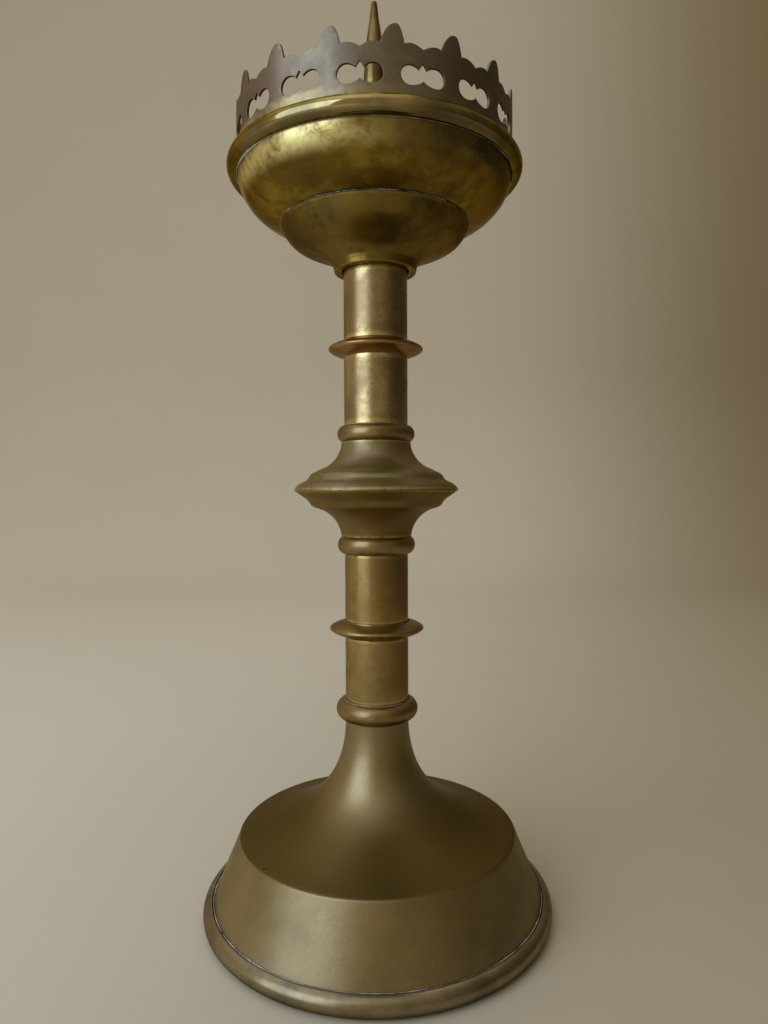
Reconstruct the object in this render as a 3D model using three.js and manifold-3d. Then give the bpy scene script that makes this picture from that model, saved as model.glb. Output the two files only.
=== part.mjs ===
// Brass altar candlestick: a stack of turned and spun pieces, drawn tight by one long rod.
// Millimetres, +Z up. The origin is on the floor, at the centre of the foot.
// Every outline is a list of [radius, height] points that goes up the outside and down the inside.

import * as THREE from 'three';
import { mergeVertices } from 'three/addons/utils/BufferGeometryUtils.js';
import Module from 'manifold-3d';

const wasm = await Module();
wasm.setup();

// Stock sizes
const TUBE_RADIUS = 14;
const SHEET = 1.2;
const CAST_WALL = 1.6;
const ROD_RADIUS = 4;
const ROD_HOLE = 4.6;
const NUT_ACROSS_FLATS = 13;
const NUT_BORE = 4.3;

// Clearances
const SEAT_GAP = 0.1;
const FIT_GAP = 0.3;

// Heights at which one piece ends and the next begins
const RING_TOP = 8.4;
const SKIRT_TOP = 34.8;
const FOOT_TOP = 83.5;
const FOOT_COLLAR_TOP = 92.5;
const LOWER_RING_BOTTOM = 120.4;
const LOWER_RING_TOP = 127.4;
const KNOP_COLLAR_BOTTOM = 156.8;
const KNOP_BOTTOM = 164.5;
const KNOP_EDGE = 185.2;
const KNOP_TOP = 206.2;
const KNOP_COLLAR_TOP = 213.4;
const UPPER_RING_BOTTOM = 243.1;
const UPPER_RING_TOP = 250.1;
const CUP_LIP = 280;
const CUP_FLOOR = 284;
const CUP_FLOOR_TOP = 287;
const BOWL_FLOOR = 297.4;
const BOWL_TOP = 320.4;
const BEAD_TOP = 325.4;
const PRICKET_BORE_TOP = 312;
const PRICKET_TIP = 396.9;

// Radii
const FOOT_RADIUS = 76.5;
const FOOT_OPENING = 69.5;
const SKIRT_FOOT = [72.5, 6.5];
const SKIRT_EDGE = 60.7;
const FOOT_COLLAR_RADIUS = 18.1;
const EDGED_RING_RADIUS = 20.8;
const KNOP_COLLAR_RADIUS = 17.15;
const KNOP_RADIUS = 36.2;
const KNOP_LOWER_NECK = 15.4;
const KNOP_UPPER_NECK = 15.2;
const BOWL_RADIUS = 59.2;
const BEAD_RADIUS = 63.5;
const BEAD_SIZE = 3.65;

// Fasteners
const ROD_BOTTOM = 36;
const ROD_TOP = 310.5;
const ROD_CHAMFER = 0.6;
const FOOT_WASHER_BOTTOM = 48.2;
const FOOT_WASHER_TOP = 51.2;
const NUT_THICKNESS = 6.5;
const PAN_WASHER_RADIUS = 11.8;
const PAN_WASHER_THICKNESS = 1.5;
const SPACER_RADIUS = 9;

// Spigots, which keep the pieces in line
const SPIGOT_RADIUS = TUBE_RADIUS - SHEET - FIT_GAP;
const SPIGOT_LENGTH = 4;
const KNOP_HOLE = 10.3;
const KNOP_SPIGOT = KNOP_HOLE - FIT_GAP;

// Crown: one strip of sheet, pierced and cut to leaves
const CROWN_REPEATS = 16;
const CROWN_TURN = -4.5;
const CROWN_SHEET = 1.1;
const LEAF_HEIGHT = 25.4;
const LEAF_BASE = 18.7;
const LEAF_LEAN = 1.45;
const LEAF_HALF_WIDTH = 4.5;
const LEAF_POWER = 2.33;
const CUSP_HEIGHT = 17.3;

// Facets round the axis
const STEM_FACETS = 24;
const KNOP_FACETS = 32;
const FOOT_FACETS = 36;
const RIM_FACETS = 48;

const brass = (colour, roughness) =>
  new THREE.MeshStandardMaterial({ color: colour, roughness, metalness: 1 });
const materials = {
  foot: brass(0x7d6234, 0.42),
  stem: brass(0x8c6a3c, 0.38),
  trim: brass(0x96683c, 0.34),
  knop: brass(0x77603a, 0.42),
  pan: brass(0x7a6430, 0.48),
  crown: brass(0x5f5a44, 0.5),
  pricket: brass(0xb08a3c, 0.3),
  steel: brass(0x6d6f70, 0.45),
};

const candlestick = new THREE.Group();

function place(name, geometry, material) {
  const mesh = new THREE.Mesh(geometry, material);
  mesh.name = name;
  candlestick.add(mesh);
}

function arc(centre, radii, fromDegrees, toDegrees, steps) {
  return Array.from({ length: steps + 1 }, (_, i) => {
    const angle = THREE.MathUtils.degToRad(fromDegrees + (toDegrees - fromDegrees) * i / steps);
    return [centre[0] + radii[0] * Math.cos(angle), centre[1] + radii[1] * Math.sin(angle)];
  });
}

// Angle at which a round of this size, centred on a radius, reaches another radius
function seam(radius, centreRadius, size) {
  return THREE.MathUtils.radToDeg(Math.acos((radius - centreRadius) / size));
}

function sweep(from, fromHandle, toHandle, to, steps) {
  const ends = [from, fromHandle, toHandle, to].map(([r, z]) => new THREE.Vector2(r, z));
  return new THREE.CubicBezierCurve(...ends).getPoints(steps).map((p) => [p.x, p.y]);
}

function bend(from, handle, to, steps) {
  const ends = [from, handle, to].map(([x, y]) => new THREE.Vector2(x, y));
  return new THREE.QuadraticBezierCurve(...ends).getPoints(steps).map((p) => [p.x, p.y]);
}

// Revolves a closed outline about the axis
function turn(name, outline, facets, material) {
  const closed = [...outline, outline[0]];
  place(name, revolve(closed, facets), material);
}

function revolve(outline, facets) {
  const points = outline.map(([r, z]) => new THREE.Vector2(r, z));
  return new THREE.LatheGeometry(points, facets).rotateX(Math.PI / 2);
}

// Moves a point of an outline inward by the wall, square to both of its sides
function inset(before, point, after, wall) {
  const normals = [[before, point], [point, after]]
    .filter(([a, b]) => a && b)
    .map(([a, b]) => new THREE.Vector2(a[1] - b[1], b[0] - a[0]).normalize());
  const first = normals[0];
  const last = normals[normals.length - 1];
  const shift = first.clone().add(last).multiplyScalar(wall / (1 + first.dot(last)));
  return { moved: [point[0] + shift.x, point[1] + shift.y], normal: first };
}

function insetPath(outside, wall) {
  return outside.map((p, i) => inset(outside[i - 1], p, outside[i + 1], wall).moved);
}

// Outline of a sheet shell, from its outside. Each end is cut level or upright.
function shell(outside, wall, startCut, endCut) {
  const inside = insetPath(outside, wall);
  const cutEnd = (index, neighbour, cut) => {
    const [r, z] = outside[index];
    const other = outside[neighbour];
    const side = inset(index === 0 ? null : other, [r, z], index === 0 ? other : null, wall).normal;
    inside[index] = cut === 'level' ? [r + wall / side.x, z] : [r, z + wall / side.y];
  };
  cutEnd(0, 1, startCut);
  cutEnd(outside.length - 1, outside.length - 2, endCut);
  return [...outside, ...inside.reverse()];
}

function sleeve(inner, outer, bottom, top) {
  return [[inner, bottom], [outer, bottom], [outer, top], [inner, top]];
}

// Foot: a straight skirt, a shallow top and a trumpet, spun from one sheet
const skirt = [SKIRT_FOOT, [SKIRT_EDGE, SKIRT_TOP - 0.6], [SKIRT_EDGE - 0.6, SKIRT_TOP]];
const trumpetEnd = FOOT_TOP - SEAT_GAP;
const trumpet = sweep([59.4, 35.2], [34, 40.7], [TUBE_RADIUS, 53.1], [TUBE_RADIUS, trumpetEnd], 9);
const footOutside = [...skirt, ...trumpet];

function radiusInsideFoot(height) {
  const inside = insetPath(footOutside, SHEET);
  const upper = inside.findIndex((p) => p[1] > height);
  const [low, high] = [inside[upper - 1], inside[upper]];
  return low[0] + (high[0] - low[0]) * (height - low[1]) / (high[1] - low[1]);
}

function makeFoot() {
  turn('foot_shell', shell(footOutside, SHEET, 'level', 'level'), FOOT_FACETS, materials.foot);

  const half = RING_TOP / 2;
  const ledge = SKIRT_FOOT[1] - SEAT_GAP;
  const landEdge = FOOT_RADIUS - half;
  const groove = SKIRT_FOOT[0] + FIT_GAP;
  const ring = [
    [FOOT_OPENING, 0],
    ...arc([landEdge, half], [half, half], -90, seam(groove, landEdge, half), 7),
    [groove, ledge],
    [FOOT_OPENING, ledge],
  ];
  turn('foot_ring', ring, FOOT_FACETS, materials.trim);
}

// Rod, nut and washer under the trumpet
function makeTie() {
  const rod = [
    [0, ROD_BOTTOM],
    [ROD_RADIUS - ROD_CHAMFER, ROD_BOTTOM],
    [ROD_RADIUS, ROD_BOTTOM + ROD_CHAMFER],
    [ROD_RADIUS, ROD_TOP - ROD_CHAMFER],
    [ROD_RADIUS - ROD_CHAMFER, ROD_TOP],
    [0, ROD_TOP],
  ];
  place('tie_rod', revolve(rod, STEM_FACETS), materials.steel);

  const washer = [
    [ROD_HOLE, FOOT_WASHER_BOTTOM],
    [radiusInsideFoot(FOOT_WASHER_BOTTOM) - FIT_GAP, FOOT_WASHER_BOTTOM],
    [radiusInsideFoot(FOOT_WASHER_TOP) - FIT_GAP, FOOT_WASHER_TOP],
    [ROD_HOLE, FOOT_WASHER_TOP],
  ];
  turn('foot_washer', washer, FOOT_FACETS, materials.trim);

  const corner = NUT_ACROSS_FLATS / 2 / Math.cos(Math.PI / 6);
  const hexagon = new THREE.Shape(
    arc([0, 0], [corner, corner], 0, 300, 5).map(([x, y]) => new THREE.Vector2(x, y)),
  );
  hexagon.holes.push(new THREE.Path().absarc(0, 0, NUT_BORE, 0, Math.PI * 2, true));
  const nut = new THREE.ExtrudeGeometry(hexagon, {
    depth: NUT_THICKNESS,
    curveSegments: STEM_FACETS / 2,
    bevelEnabled: false,
  });
  nut.translate(0, 0, FOOT_WASHER_BOTTOM - SEAT_GAP - NUT_THICKNESS);
  place('foot_nut', nut, materials.steel);
}

// Turned piece with a spigot below and above. The face is its visible outline.
function turnSpigoted(name, face, lowerSpigot, upperSpigot) {
  const bottom = face[0][1];
  const top = face[face.length - 1][1];
  const outline = [
    [ROD_HOLE, bottom - SPIGOT_LENGTH],
    [lowerSpigot, bottom - SPIGOT_LENGTH],
    [lowerSpigot, bottom],
    ...face,
    [upperSpigot, top],
    [upperSpigot, top + SPIGOT_LENGTH],
    [ROD_HOLE, top + SPIGOT_LENGTH],
  ];
  turn(name, outline, STEM_FACETS, materials.trim);
}

// Half-round collar. Its seats are where the round meets the pieces below and above.
function makeCollar(name, bottom, top, radius, seats, spigots) {
  const low = bottom + SEAT_GAP;
  const centreRadius = Math.min(...seats);
  const bulge = radius - centreRadius;
  const [lowerSeam, upperSeam] = seats.map((seat) => seam(seat, centreRadius, bulge));
  const rise = (degrees) => Math.sin(THREE.MathUtils.degToRad(degrees));
  const half = (top - low) / (rise(lowerSeam) + rise(upperSeam));
  const centre = [centreRadius, low + half * rise(lowerSeam)];
  const face = arc(centre, [bulge, half], -lowerSeam, upperSeam, 6);
  turnSpigoted(name, face, ...spigots);
}

// Ring whose two faces rise steeply from the tube and then run out to a sharp edge
function makeEdgedRing(name, bottom, top) {
  const runOut = 1.54;
  const low = bottom + SEAT_GAP;
  const half = (top - low) / 2;
  const shares = [-1, -0.75, -0.45, -0.2, 0, 0.2, 0.45, 0.75, 1];
  const face = shares.map((share) => [
    EDGED_RING_RADIUS - (EDGED_RING_RADIUS - TUBE_RADIUS) * Math.abs(share) ** runOut,
    low + half * (1 + share),
  ]);
  turnSpigoted(name, face, SPIGOT_RADIUS, SPIGOT_RADIUS);
}

function makeTube(name, bottom, top) {
  const outline = sleeve(TUBE_RADIUS - SHEET, TUBE_RADIUS, bottom + SEAT_GAP, top);
  turn(name, outline, STEM_FACETS, materials.stem);
}

// Knop: two spun halves that meet at the sharp edge. Each has a hollow neck, a shoulder and a
// small hollow below the edge; the upper one has a second shoulder next to the edge.
function makeKnop() {
  const lowFloor = KNOP_BOTTOM + SEAT_GAP;
  const lowCove = { radius: 14.1, drop: 21.8 };
  const lower = [
    [KNOP_HOLE, lowFloor],
    [KNOP_LOWER_NECK, lowFloor],
    ...arc(
      [KNOP_LOWER_NECK + lowCove.radius, KNOP_EDGE - lowCove.drop],
      [lowCove.radius, lowCove.radius],
      172,
      100,
      5,
    ),
    [28.5, KNOP_EDGE - 7.1],
    [29.8, KNOP_EDGE - 5.2],
    [32, KNOP_EDGE - 3.2],
    [34.9, KNOP_EDGE - 1.3],
    [KNOP_RADIUS, KNOP_EDGE - SEAT_GAP],
  ];
  turn('knop_lower_shell', shell(lower, SHEET, 'upright', 'level'), KNOP_FACETS, materials.knop);

  const highCove = { radius: 13.3, rise: 21.7 };
  const upper = [
    [KNOP_RADIUS, KNOP_EDGE],
    [34.8, KNOP_EDGE + 1.9],
    [33.4, KNOP_EDGE + 2.9],
    [31, KNOP_EDGE + 4],
    [29.6, KNOP_EDGE + 5.6],
    [28.7, KNOP_EDGE + 6.8],
    [27.9, KNOP_EDGE + 7.4],
    ...arc(
      [KNOP_UPPER_NECK + highCove.radius, KNOP_EDGE + highCove.rise],
      [highCove.radius, highCove.radius],
      252,
      188,
      5,
    ),
    [KNOP_UPPER_NECK, KNOP_TOP],
    [KNOP_HOLE, KNOP_TOP],
  ];
  turn('knop_upper_shell', shell(upper, SHEET, 'level', 'upright'), KNOP_FACETS, materials.knop);
}

function makeStem() {
  const onTube = TUBE_RADIUS - 0.35;
  const plain = [SPIGOT_RADIUS, SPIGOT_RADIUS];
  makeCollar('foot_collar', FOOT_TOP, FOOT_COLLAR_TOP, FOOT_COLLAR_RADIUS, [onTube, onTube], plain);
  makeTube('lower_tube_a', FOOT_COLLAR_TOP, LOWER_RING_BOTTOM);
  makeEdgedRing('lower_ring', LOWER_RING_BOTTOM, LOWER_RING_TOP);
  makeTube('lower_tube_b', LOWER_RING_TOP, KNOP_COLLAR_BOTTOM);
  makeCollar(
    'knop_lower_collar',
    KNOP_COLLAR_BOTTOM,
    KNOP_BOTTOM,
    KNOP_COLLAR_RADIUS,
    [onTube, KNOP_LOWER_NECK],
    [SPIGOT_RADIUS, KNOP_SPIGOT],
  );
  makeKnop();
  makeCollar(
    'knop_upper_collar',
    KNOP_TOP,
    KNOP_COLLAR_TOP,
    KNOP_COLLAR_RADIUS,
    [KNOP_UPPER_NECK, onTube],
    [KNOP_SPIGOT, SPIGOT_RADIUS],
  );
  makeTube('upper_tube_a', KNOP_COLLAR_TOP, UPPER_RING_BOTTOM);
  makeEdgedRing('upper_ring', UPPER_RING_BOTTOM, UPPER_RING_TOP);
  makeTube('upper_tube_b', UPPER_RING_TOP, CUP_FLOOR - SEAT_GAP);
}

// Cup: one casting, with a lip round the tube's end, a solid floor and a dish under the bowl
function makeCup() {
  const recess = TUBE_RADIUS + 1.2;
  const dish = [
    [19, CUP_FLOOR],
    [22.9, 287],
    [30.6, 290],
    [35.1, 292],
    [37.6, 294],
    [39.5, 296.5],
    [41.2, 299.4],
  ];
  const dishInside = insetPath(dish, CAST_WALL).slice(1, -1).reverse();
  const cup = [
    [ROD_HOLE, CUP_LIP],
    [SPIGOT_RADIUS, CUP_LIP],
    [SPIGOT_RADIUS, CUP_FLOOR],
    [recess, CUP_FLOOR],
    [recess, CUP_LIP],
    [17.3, CUP_LIP],
    [18, CUP_LIP + 0.8],
    ...dish,
    [39.6, 298.9],
    ...dishInside,
    [20, CUP_FLOOR_TOP],
    [ROD_HOLE, CUP_FLOOR_TOP],
  ];
  turn('neck_cup', cup, FOOT_FACETS, materials.knop);
}

// Bowl: its middle is pressed down a little, so the pan washer lies below the candle's seat
function makeBowl() {
  const dent = { depth: 0.5, radius: 12.7, slope: 0.7 };
  const underside = BOWL_FLOOR - dent.depth;
  const flatRadius = 24;
  const wall = sweep(
    [flatRadius, BOWL_FLOOR],
    [46.2, BOWL_FLOOR],
    [BOWL_RADIUS, 308.4],
    [BOWL_RADIUS, BOWL_TOP],
    7,
  );
  const outside = [
    [ROD_HOLE, underside],
    [dent.radius, underside],
    [dent.radius + dent.slope, BOWL_FLOOR],
    ...wall,
  ];
  turn('bowl', shell(outside, SHEET, 'upright', 'level'), FOOT_FACETS, materials.pan);

  const spacer = sleeve(ROD_HOLE, SPACER_RADIUS, CUP_FLOOR_TOP + SEAT_GAP, underside - SEAT_GAP);
  turn('pan_spacer', spacer, STEM_FACETS, materials.trim);

  const washerBottom = underside + SHEET + SEAT_GAP;
  const washerTop = washerBottom + PAN_WASHER_THICKNESS;
  const washer = sleeve(ROD_HOLE, PAN_WASHER_RADIUS, washerBottom, washerTop);
  turn('pan_washer', washer, STEM_FACETS, materials.trim);
  return washerTop;
}

// Half-round bead, with a tongue that lies on the bowl's edge and carries the crown
function makeBead() {
  const tongue = { inner: BOWL_RADIUS - SHEET, bottom: BOWL_TOP + SEAT_GAP, top: BOWL_TOP + 1.1 };
  const face = BOWL_RADIUS + FIT_GAP;
  const centre = [BEAD_RADIUS - BEAD_SIZE, BEAD_TOP - BEAD_SIZE];
  const bound = seam(face, centre[0], BEAD_SIZE);
  const bead = [
    [tongue.inner, tongue.bottom],
    [face, tongue.bottom],
    ...arc(centre, [BEAD_SIZE, BEAD_SIZE], -bound, bound, 7),
    [face, tongue.top],
    [tongue.inner, tongue.top],
  ];
  turn('rim_bead', bead, RIM_FACETS, materials.trim);
  return tongue.top + SEAT_GAP;
}

function toSolid(geometry) {
  const bare = geometry.clone();
  bare.deleteAttribute('normal');
  bare.deleteAttribute('uv');
  const merged = mergeVertices(bare, 1e-4);
  return new wasm.Manifold(new wasm.Mesh({
    numProp: 3,
    vertProperties: new Float32Array(merged.attributes.position.array),
    triVerts: new Uint32Array(merged.index.array),
  }));
}

function toGeometry(solid) {
  const { vertProperties, triVerts } = solid.getMesh();
  const geometry = new THREE.BufferGeometry();
  geometry.setAttribute('position', new THREE.BufferAttribute(vertProperties, 3));
  geometry.setIndex(new THREE.BufferAttribute(triVerts, 1));
  geometry.computeVertexNormals();
  return geometry;
}

// Right half of a piercing, from its point at the top to the cusp below, in mm along the strip
// and above the bead
function halfPiercing() {
  const lobe = [5, 8];
  const height = 3.6;
  const towardPoint = 4.36;
  const outward = 3.45;
  const towardCusp = 5.66;
  return [
    [0, 12.4],
    [1.6, 10.15],
    ...arc(lobe, [towardPoint, height], 112, 90, 1),
    ...arc(lobe, [outward, height], 54, -90, 4),
    ...arc(lobe, [towardCusp, height], -115, -152, 2),
  ];
}

// Edge of a leaf, from its base up to just beside its tip, as [distance from the tip's line, height]
function leafEdge(baseWidth) {
  const tipHalfWidth = 0.4;
  const widths = [baseWidth, baseWidth * 0.8, baseWidth * 0.5, tipHalfWidth];
  return widths.map((width) => [
    width,
    LEAF_BASE + (LEAF_HEIGHT - LEAF_BASE) * (1 - (width / baseWidth) ** LEAF_POWER),
  ]);
}

// Outline of what is cut away between two leaves
function skyOutline(halfPitch) {
  const aboveTips = LEAF_HEIGHT + 2;
  const corner = halfPitch - LEAF_HALF_WIDTH;
  const leftTip = -halfPitch + LEAF_LEAN;
  const rightTip = halfPitch + LEAF_LEAN;
  const left = leafEdge(LEAF_HALF_WIDTH - LEAF_LEAN).map(([width, height]) => [leftTip + width, height]);
  const right = leafEdge(LEAF_HALF_WIDTH + LEAF_LEAN).map(([width, height]) => [rightTip - width, height]);
  const scallopHandle = [4.2, 20];
  const scallop = bend([0, CUSP_HEIGHT], scallopHandle, [corner, LEAF_BASE], 3).slice(0, -1);
  const mirrored = scallop.slice(1).reverse().map(([along, height]) => [-along, height]);
  return [
    [left[left.length - 1][0], aboveTips],
    ...left.reverse(),
    ...mirrored,
    ...scallop,
    ...right,
    [right[right.length - 1][0], aboveTips],
  ];
}

// Solid that cuts an outline straight through the crown, at an angle from the front
function radialCutter(outline, degrees) {
  const reach = 12;
  const onStrip = outline.map(([along, height]) =>
    new THREE.Vector2(BOWL_RADIUS * Math.sin(along / BOWL_RADIUS), BEAD_TOP + height));
  const cutter = new THREE.ExtrudeGeometry(new THREE.Shape(onStrip), { depth: reach, bevelEnabled: false });
  cutter.rotateX(Math.PI / 2);
  cutter.translate(0, reach / 2 - BOWL_RADIUS, 0);
  cutter.rotateZ(THREE.MathUtils.degToRad(degrees));
  return toSolid(cutter);
}

function makeCrown(bottom) {
  const strip = sleeve(BOWL_RADIUS - CROWN_SHEET, BOWL_RADIUS, bottom, BEAD_TOP + LEAF_HEIGHT);
  let crown = toSolid(revolve([...strip, strip[0]], RIM_FACETS));
  const right = halfPiercing();
  const left = right.slice(1, -1).reverse().map(([along, height]) => [-along, height]);
  const halfPitch = Math.PI * BOWL_RADIUS / CROWN_REPEATS;
  for (let i = 0; i < CROWN_REPEATS; i += 1) {
    const degrees = CROWN_TURN + 360 * i / CROWN_REPEATS;
    crown = crown.subtract(radialCutter([...right, ...left], degrees));
    crown = crown.subtract(radialCutter(skyOutline(halfPitch), degrees));
  }
  place('crown', toGeometry(crown), materials.crown);
}

// Pricket: a long taper over a flared foot, with a blind threaded bore for the rod
function makePricket(bottom) {
  const base = bottom + SEAT_GAP;
  const outline = [
    [0, PRICKET_BORE_TOP],
    [NUT_BORE, PRICKET_BORE_TOP],
    [NUT_BORE, base],
    [9.5, base],
    [9.3, base + 1],
    [7, base + 2.6],
    [6.2, base + 5.5],
    [5.9, 325],
    [5.4, 345],
    [4.65, 365],
    [3.25, 381],
    [2.1, 388.8],
    [1.35, 395.4],
    [0.8, PRICKET_TIP - 0.2],
    [0, PRICKET_TIP],
  ];
  place('pricket', revolve(outline, STEM_FACETS), materials.pricket);
}

makeFoot();
makeTie();
makeStem();
makeCup();
const panWasherTop = makeBowl();
const crownBottom = makeBead();
makeCrown(crownBottom);
makePricket(panWasherTop);

export default candlestick;
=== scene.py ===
"""Brass altar candlestick: fine turned pieces, a pierced crown and aged brass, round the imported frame.

Outlines are lists of (radius, height) in millimetres, up the outside and down the inside. A third
value rounds that corner with a radius of so many millimetres.
"""

import math

import bmesh
import bpy
from mathutils import Matrix, Vector, noise


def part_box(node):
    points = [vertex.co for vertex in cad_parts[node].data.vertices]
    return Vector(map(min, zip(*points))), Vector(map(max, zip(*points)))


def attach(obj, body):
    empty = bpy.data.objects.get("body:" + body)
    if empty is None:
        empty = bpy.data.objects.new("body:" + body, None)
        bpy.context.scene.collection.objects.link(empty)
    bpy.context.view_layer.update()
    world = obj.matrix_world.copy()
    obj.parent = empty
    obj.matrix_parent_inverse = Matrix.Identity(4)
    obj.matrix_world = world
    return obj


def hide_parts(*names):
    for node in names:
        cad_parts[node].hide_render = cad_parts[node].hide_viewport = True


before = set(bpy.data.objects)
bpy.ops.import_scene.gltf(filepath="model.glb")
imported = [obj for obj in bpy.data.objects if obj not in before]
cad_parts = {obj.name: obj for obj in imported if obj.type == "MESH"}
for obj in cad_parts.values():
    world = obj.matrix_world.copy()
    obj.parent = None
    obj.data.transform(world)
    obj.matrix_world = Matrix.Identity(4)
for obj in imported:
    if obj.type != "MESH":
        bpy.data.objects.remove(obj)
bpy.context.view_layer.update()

MM = 0.001
STAND, WASHER, NUT = "stand", "washer", "nut"


# Sizes that the frame holds, in millimetres

def low(node):
    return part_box(node)[0].z / MM


def high(node):
    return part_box(node)[1].z / MM


def radius(node):
    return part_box(node)[1].x / MM


# Driving sizes, in millimetres

SHEET = 1.2
CAST_WALL = 1.6
FACE_GAP = 0.1
TUBE_RADIUS = radius("lower_tube_a")
TUBE_BORE = TUBE_RADIUS - SHEET
SPIGOT_LENGTH = 4
SPIGOT_RADIUS = 12.5
KNOP_HOLE = 10.3
KNOP_SPIGOT = 10
KNOP_NECK_BELOW = 15.4
KNOP_NECK_ABOVE = 15.2
BOWL_RADIUS = radius("bowl")
FOOT_RING_SIZE = 4.2
BEAD_SIZE = 3.65
ROD_RADIUS = radius("tie_rod")
ROD_HOLE = 4.6
THREAD_BORE = 4.3
THREAD_PITCH = 1.25
THREAD_DEPTH = 0.6
THREADED_LENGTH = 24

# Faces round a turned piece
SIDES = 192


# Outline helpers

def arc(centre, radii, start, end, steps):
    """Points on an ellipse, angles in degrees."""
    points = []
    for i in range(steps + 1):
        angle = math.radians(start + (end - start) * i / steps)
        points.append((centre[0] + radii[0] * math.cos(angle), centre[1] + radii[1] * math.sin(angle)))
    return points


def seam(reached, centre, size):
    """Angle at which a round of this size, centred on a radius, reaches another radius."""
    return math.degrees(math.acos((reached - centre) / size))


def sweep(p0, p1, p2, p3, steps):
    """Points on a cubic curve with two handles."""
    points = []
    for i in range(steps + 1):
        t = i / steps
        weights = ((1 - t) ** 3, 3 * t * (1 - t) ** 2, 3 * t * t * (1 - t), t ** 3)
        points.append(tuple(sum(w * p[k] for w, p in zip(weights, (p0, p1, p2, p3))) for k in (0, 1)))
    return points


def bow(p0, p1, p2, steps):
    """Points on a curve with one handle."""
    points = []
    for i in range(steps + 1):
        t = i / steps
        points.append(tuple((1 - t) ** 2 * p0[k] + 2 * t * (1 - t) * p1[k] + t * t * p2[k] for k in (0, 1)))
    return points


def through(points, steps):
    """Smooth curve through the points."""
    ends = [points[0], *points, points[-1]]
    result = []
    for a, b, c, d in zip(ends, ends[1:], ends[2:], ends[3:]):
        for i in range(steps):
            t = i / steps
            result.append(tuple(
                0.5 * (2 * b[k] + (c[k] - a[k]) * t + (2 * a[k] - 5 * b[k] + 4 * c[k] - d[k]) * t * t
                       + (3 * b[k] - a[k] - 3 * c[k] + d[k]) * t ** 3)
                for k in (0, 1)))
    return result + [points[-1]]


def lifted(points, height):
    """The points moved up, with their roundings."""
    return [(point[0], height + point[1], *point[2:]) for point in points]


def rounded(outline, closed=True):
    """Rounds each corner that has a third value."""
    result = []
    count = len(outline)
    steps = 6
    for i, point in enumerate(outline):
        here = Vector(point[:2])
        if len(point) < 3 or (not closed and i in (0, count - 1)):
            result.append(here)
            continue
        before = Vector(outline[i - 1][:2]) - here
        after = Vector(outline[(i + 1) % count][:2]) - here
        half = before.angle(after) / 2
        reach = min(point[2] / math.tan(half), before.length * 0.49, after.length * 0.49)
        start = here + before.normalized() * reach
        end = here + after.normalized() * reach
        for step in range(steps + 1):
            t = step / steps
            result.append(start * (1 - t) ** 2 + here * 2 * t * (1 - t) + end * t * t)
    return result


def inset(outside, wall):
    """The outside moved inward by the wall."""
    result = []
    for i, here in enumerate(outside):
        normals = []
        for a, b in ((i - 1, i), (i, i + 1)):
            if a >= 0 and b < len(outside):
                side = Vector(outside[b]) - Vector(outside[a])
                if side.length > 1e-6:
                    normals.append(Vector((-side.y, side.x)).normalized())
        first, last = normals[0], normals[-1]
        result.append(Vector(here) + (first + last) * wall / (1 + first.dot(last)))
    return result


def shell(outside, wall, start_cut, end_cut):
    """Closed outline of a sheet with this outside. Each end is cut level or upright."""
    outside = rounded(outside, closed=False)
    inside = inset(outside, wall)
    for index, other, cut in ((0, 1, start_cut), (-1, -2, end_cut)):
        here, there = outside[index], outside[other]
        side = (there - here) if index == 0 else (here - there)
        normal = Vector((-side.y, side.x)).normalized()
        if cut == "level":
            inside[index] = here + Vector((wall / normal.x, 0))
        else:
            inside[index] = here + Vector((0, wall / normal.y))
    return [*outside, *reversed(inside)]


def refine(outline, longest):
    """Splits long straight stretches, so that the bend is measured near each corner."""
    result = []
    for a, b in zip(outline, outline[1:] + outline[:1]):
        a, b = Vector(a[:2]), Vector(b[:2])
        if (b - a).length < 1e-5:
            continue
        steps = max(1, math.ceil((b - a).length / longest))
        result += [a.lerp(b, i / steps) for i in range(steps)]
    return result


def bend_of(outline):
    """How far the outline turns within a millimetre: over 0 where it bulges, under 0 in a hollow."""
    count = len(outline)
    reach = 1.0
    bends = []
    for i, here in enumerate(outline):
        ends = []
        for step in (-1, 1):
            j, walked = i, 0
            while walked < reach:
                nearer = outline[j]
                j = (j + step) % count
                walked += (outline[j] - nearer).length
            ends.append(outline[j])
        before, after = here - ends[0], ends[1] - here
        turn = before.x * after.y - before.y * after.x
        bends.append(math.atan2(turn, before.dot(after)))
    return bends


# Mesh helpers

def round_place(out, angle, height):
    """The place this far out from the axis. Angle 0 is in front, and it grows to the right."""
    return Vector((out * math.sin(angle), -out * math.cos(angle), height))


def with_values(bm):
    """The mesh, with the two values of a point that the looks read."""
    for key in ("along", "bend"):
        bm.verts.layers.float.new(key)
    return bm


def join_rings(bm, rings, closed=True):
    """Faces from each ring of points to the next one. A ring may be one point on the axis."""
    following = rings[1:] + rings[:1] if closed else rings[1:]
    for a, b in zip(rings, following):
        for k in range(max(len(a), len(b))):
            corners = [a[k % len(a)], a[(k + 1) % len(a)], b[(k + 1) % len(b)], b[k % len(b)]]
            corners = list(dict.fromkeys(corners))
            if len(corners) > 2:
                bm.faces.new(corners)


def finish_mesh(name, bm, body, *nodes, sharp=38):
    """Makes the piece that rides on the body. Edges over sharp degrees stay sharp."""
    bmesh.ops.recalc_face_normals(bm, faces=bm.faces)
    for face in bm.faces:
        face.smooth = True
    for edge in bm.edges:
        if len(edge.link_faces) == 2:
            edge.smooth = edge.calc_face_angle(0) < math.radians(sharp)
    mesh = bpy.data.meshes.new(name)
    bm.to_mesh(mesh)
    bm.free()
    piece = bpy.data.objects.new(name, mesh)
    bpy.context.scene.collection.objects.link(piece)
    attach(piece, body)
    if nodes:
        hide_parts(*nodes)
    return piece


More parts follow.
